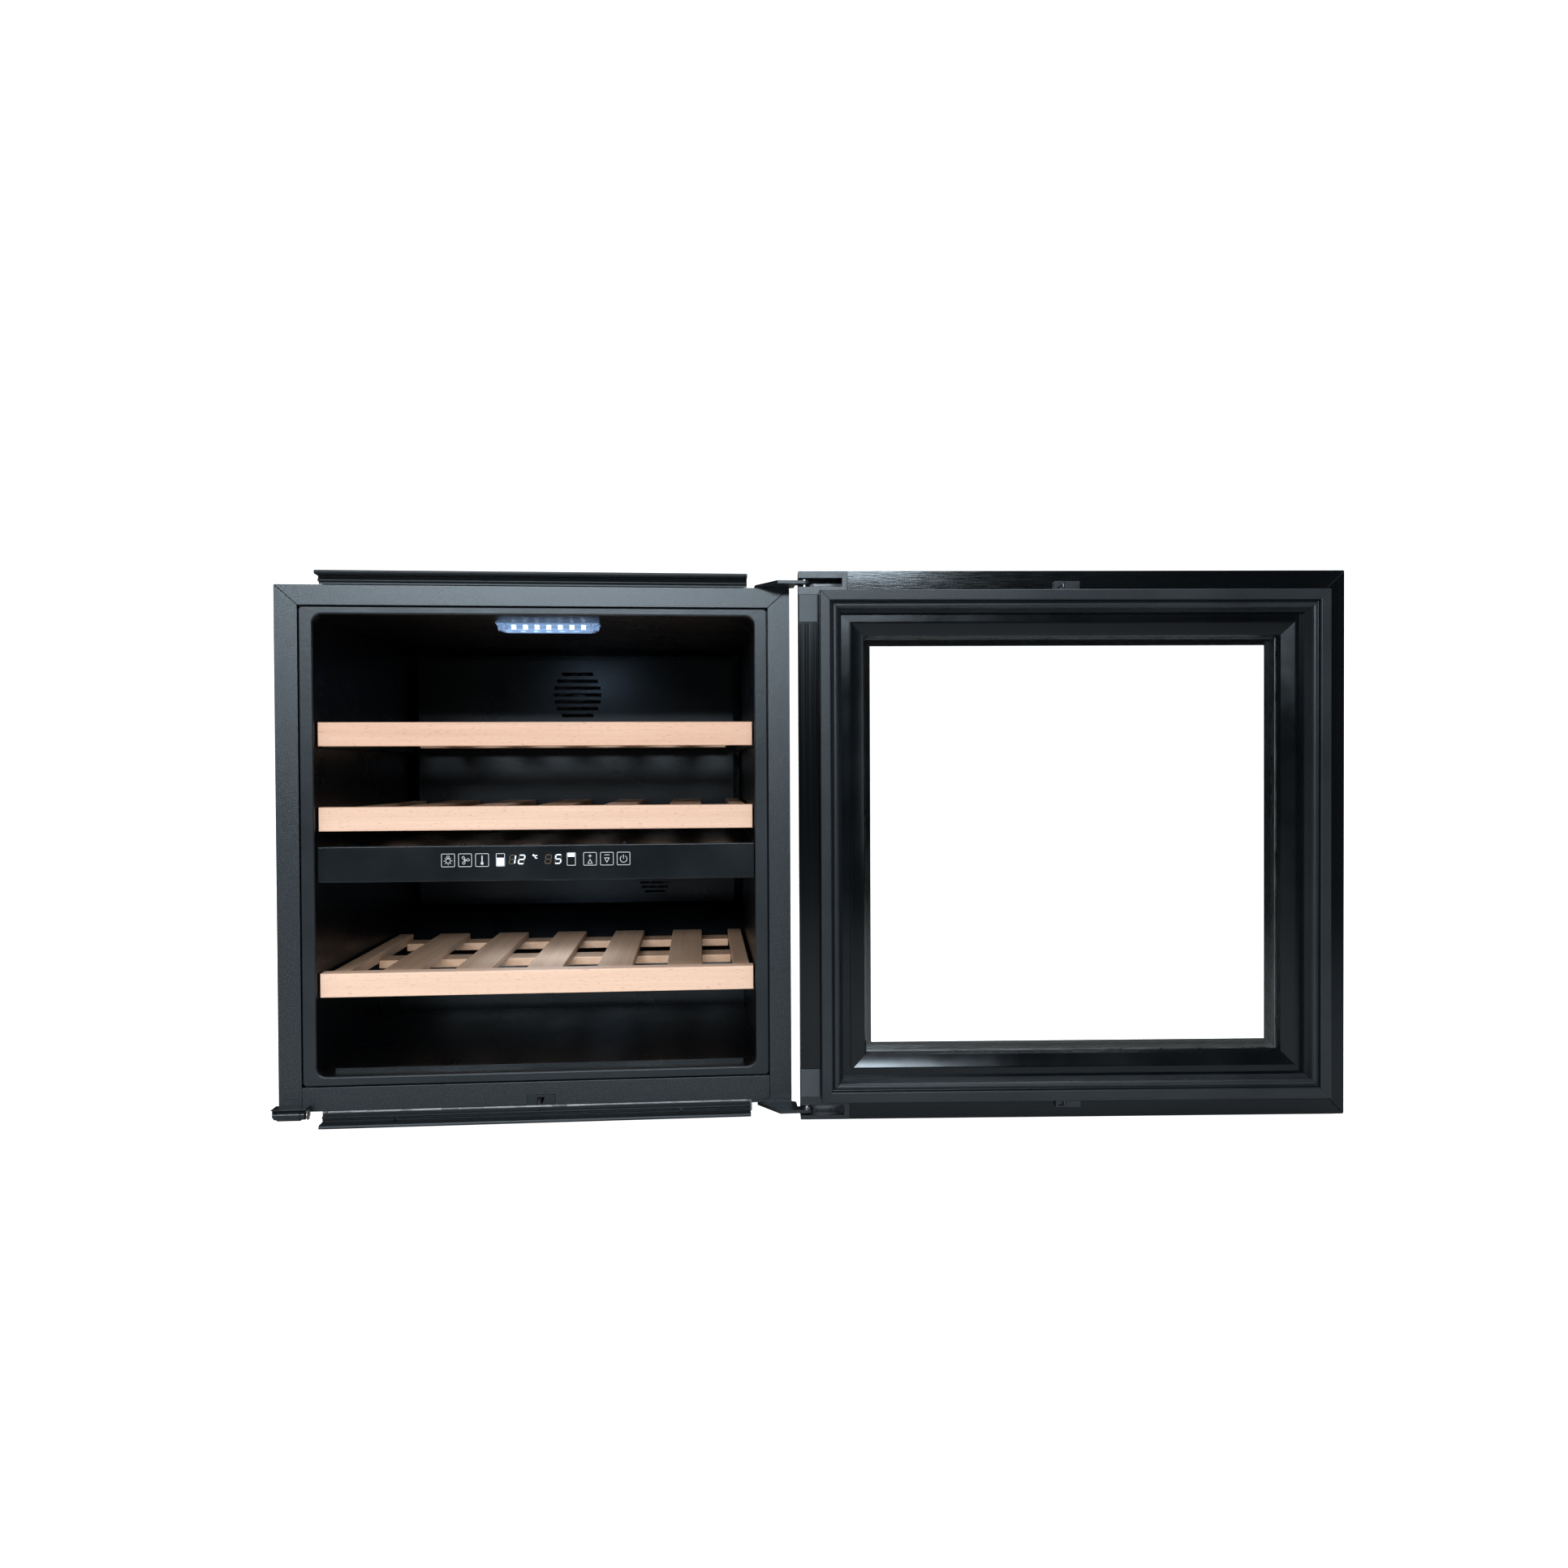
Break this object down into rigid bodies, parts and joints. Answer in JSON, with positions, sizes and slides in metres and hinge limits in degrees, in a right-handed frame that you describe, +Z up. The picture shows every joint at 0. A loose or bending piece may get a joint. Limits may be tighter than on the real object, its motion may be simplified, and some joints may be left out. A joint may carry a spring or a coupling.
{
  "type": "wine cooler",
  "caption": "Built-in two-zone wine cooler: insulated black cabinet with pull-out beech shelves, a touch panel and a glass door standing open on side hinges.",
  "frame": {"origin": "on the floor, midway between the four feet", "axes": "+X to the right seen from the front, -Y out of the front opening, +Z up"},
  "size_m": [1.1574, 0.5999, 0.5994],
  "materials": {
    "case_black": "satin",
    "galvanised": "satin",
    "rubber": "matte",
    "foam": "matte",
    "liner_black": "satin",
    "frame_black": "satin",
    "trim_black": "satin",
    "bracket_black": "satin",
    "steel": "satin",
    "roller": "satin",
    "gloss_black": "gloss",
    "circuit": "satin",
    "lamp_clear": "gloss",
    "lamp_light": "matte",
    "runner_black": "matte",
    "bare_aluminium": "satin",
    "compressor_black": "gloss",
    "copper": "satin",
    "door_glass": "gloss",
    "spacer": "satin",
    "door_black": "satin",
    "cap_grey": "satin",
    "cup_black": "satin",
    "bush": "satin",
    "inner_frame": "satin",
    "gasket": "satin",
    "beech": "satin",
    "beech_slat": "matte"
  },
  "bodies": {
    "cabinet": {"base_pan": "galvanised", "compressor": "compressor_black", "condenser_coil": "bare_aluminium", "condenser_fan_shroud": "runner_black", "control_panel": "gloss_black", "display_board": "circuit", "drain_pan": "runner_black", "duct_covers": "liner_black", "evaporators": "bare_aluminium", "fan_motors": "runner_black", "feet": "rubber", "frame_post_left": "frame_black", "frame_post_right": "frame_black", "frame_rail_bottom": "frame_black", "frame_rail_top": "frame_black", "hinge_bracket_bottom": "bracket_black", "hinge_bracket_top": "bracket_black", "hinge_pins": "steel", "inner_liner": "liner_black", "insulation_foam": "foam", "lamp_boards": "lamp_light", "lamp_covers": "lamp_clear", "latch_housing": "liner_black", "machine_cover": "galvanised", "power_box": "liner_black", "power_inlet": "runner_black", "rear_panel": "galvanised", "refrigerant_pipes": "copper", "roller_bracket": "bracket_black", "screws": "steel", "shelf_runners": "runner_black", "side_panels": "case_black", "top_panel": "case_black", "trim_strip_bottom": "trim_black", "trim_strip_top": "trim_black", "zone_divider": "liner_black"},
    "door": {"outer_glass": "door_glass", "inner_glass": "door_glass", "glass_spacer": "spacer", "door_stile_hinge": "door_black", "door_stile_free": "door_black", "door_rail_top": "door_black", "door_rail_bottom": "door_black", "door_cap_blocks": "cap_grey", "hinge_cups": "cup_black", "hinge_bushes": "bush", "door_inner_frame": "inner_frame", "door_gasket": "gasket", "door_strike_blocks": "cup_black"},
    "roller": {"door_roller": "roller"},
    "latch": {"latch_hook": "steel"},
    "upper_fan": {"fan_rotor_upper": "runner_black"},
    "lower_fan": {"fan_rotor_lower": "runner_black"},
    "cooling_fan": {"fan_rotor_condenser": "runner_black"},
    "upper_shelf": {"shelf_upper_fascia": "beech", "shelf_upper_slats": "beech_slat"},
    "middle_shelf": {"shelf_middle_fascia": "beech", "shelf_middle_slats": "beech_slat"},
    "lower_shelf": {"shelf_lower_fascia": "beech", "shelf_lower_slats": "beech_slat"}
  },
  "joints": [
    {"name": "door_hinge", "type": "hinge", "parent": "cabinet", "child": "door", "pos_m": [0.2905, -0.284, 0.3], "axis": [0, 0, 1], "range_deg": [-176.5, 3.5]},
    {"name": "upper_shelf_slide", "type": "slide", "parent": "cabinet", "child": "upper_shelf", "axis": [0, -1, 0], "range_m": [0, 0.25]},
    {"name": "middle_shelf_slide", "type": "slide", "parent": "cabinet", "child": "middle_shelf", "axis": [0, -1, 0], "range_m": [0, 0.25]},
    {"name": "lower_shelf_slide", "type": "slide", "parent": "cabinet", "child": "lower_shelf", "axis": [0, -1, 0], "range_m": [0, 0.2]},
    {"name": "latch_push", "type": "slide", "parent": "cabinet", "child": "latch", "axis": [0, -1, 0], "range_m": [-0.008, 0], "stiffness_N_per_m": 200},
    {"name": "roller_spin", "type": "hinge", "parent": "cabinet", "child": "roller", "pos_m": [-0.261, -0.269, 0.02], "axis": [1, 0, 0], "continuous": true},
    {"name": "upper_fan_spin", "type": "hinge", "parent": "cabinet", "child": "upper_fan", "pos_m": [0, 0.157, 0.496], "axis": [0, 1, 0], "continuous": true},
    {"name": "lower_fan_spin", "type": "hinge", "parent": "cabinet", "child": "lower_fan", "pos_m": [0.11, 0.157, 0.228], "axis": [0, 1, 0], "continuous": true},
    {"name": "cooling_fan_spin", "type": "hinge", "parent": "cabinet", "child": "cooling_fan", "pos_m": [0.12, 0.1785, 0.1], "axis": [0, 1, 0], "continuous": true}
  ]
}
